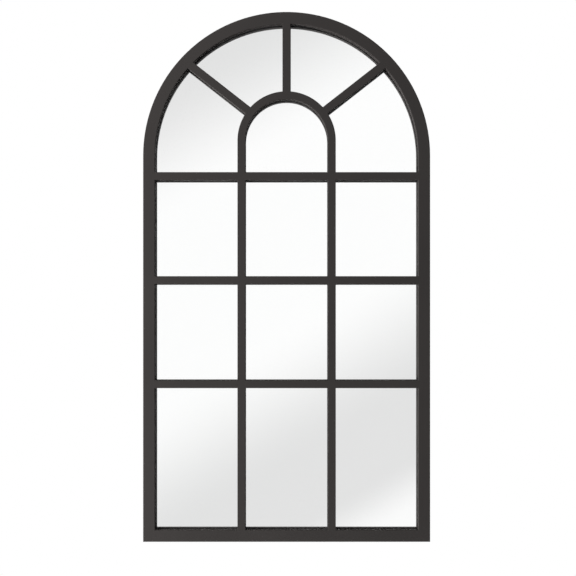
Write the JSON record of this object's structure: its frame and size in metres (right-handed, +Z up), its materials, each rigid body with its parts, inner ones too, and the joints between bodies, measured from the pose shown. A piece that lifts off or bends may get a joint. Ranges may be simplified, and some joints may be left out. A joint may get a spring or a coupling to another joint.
{
  "type": "arched window mirror",
  "caption": "Arched wall mirror in a dark metal window frame with glazing bars, a small inner arch and fanned spokes, hung by swinging rings on its back.",
  "frame": {"origin": "on the wall, midway between the two points where the wall hooks hold the rings when they are turned up", "axes": "+X right as seen from the front, +Z up, +Y back into the wall; the mirror faces -Y"},
  "size_m": [0.65, 0.034, 1.1999],
  "materials": {
    "painted_frame": "satin powder coat",
    "foam_tape": "matt closed-cell foam",
    "mirror": "silvered float glass",
    "fibreboard": "raw fibreboard",
    "zinc_steel": "bright zinc plate",
    "ring_wire": "bright zinc plated wire",
    "bumper_rubber": "matt rubber"
  },
  "bodies": {
    "frame": {"left_stile": "painted_frame", "right_stile": "painted_frame", "bottom_rail": "painted_frame", "arch_head": "painted_frame", "inner_arch": "painted_frame", "left_mullion": "painted_frame", "right_mullion": "painted_frame", "lower_crossbar_left": "painted_frame", "lower_crossbar_centre": "painted_frame", "lower_crossbar_right": "painted_frame", "middle_crossbar_left": "painted_frame", "middle_crossbar_centre": "painted_frame", "middle_crossbar_right": "painted_frame", "upper_crossbar_left": "painted_frame", "upper_crossbar_centre": "painted_frame", "upper_crossbar_right": "painted_frame", "left_spoke": "painted_frame", "centre_spoke": "painted_frame", "right_spoke": "painted_frame", "glazing_tape": "foam_tape", "mirror_glass": "mirror", "backing_board": "fibreboard", "retaining_clips": "zinc_steel", "clip_screws": "zinc_steel", "left_hanger_strap": "zinc_steel", "right_hanger_strap": "zinc_steel", "hanger_screws": "zinc_steel", "wall_bumpers": "bumper_rubber"},
    "left_ring": {"left_hanger_ring": "ring_wire"},
    "right_ring": {"right_hanger_ring": "ring_wire"}
  },
  "joints": [
    {"name": "left_ring_hinge", "type": "hinge", "parent": "frame", "child": "left_ring", "pos_m": [-0.3125, -0.0033, -0.014], "axis": [1, 0, 0], "range_deg": [0, 180]},
    {"name": "right_ring_hinge", "type": "hinge", "parent": "frame", "child": "right_ring", "pos_m": [0.3125, -0.0033, -0.014], "axis": [1, 0, 0], "range_deg": [0, 180]}
  ]
}
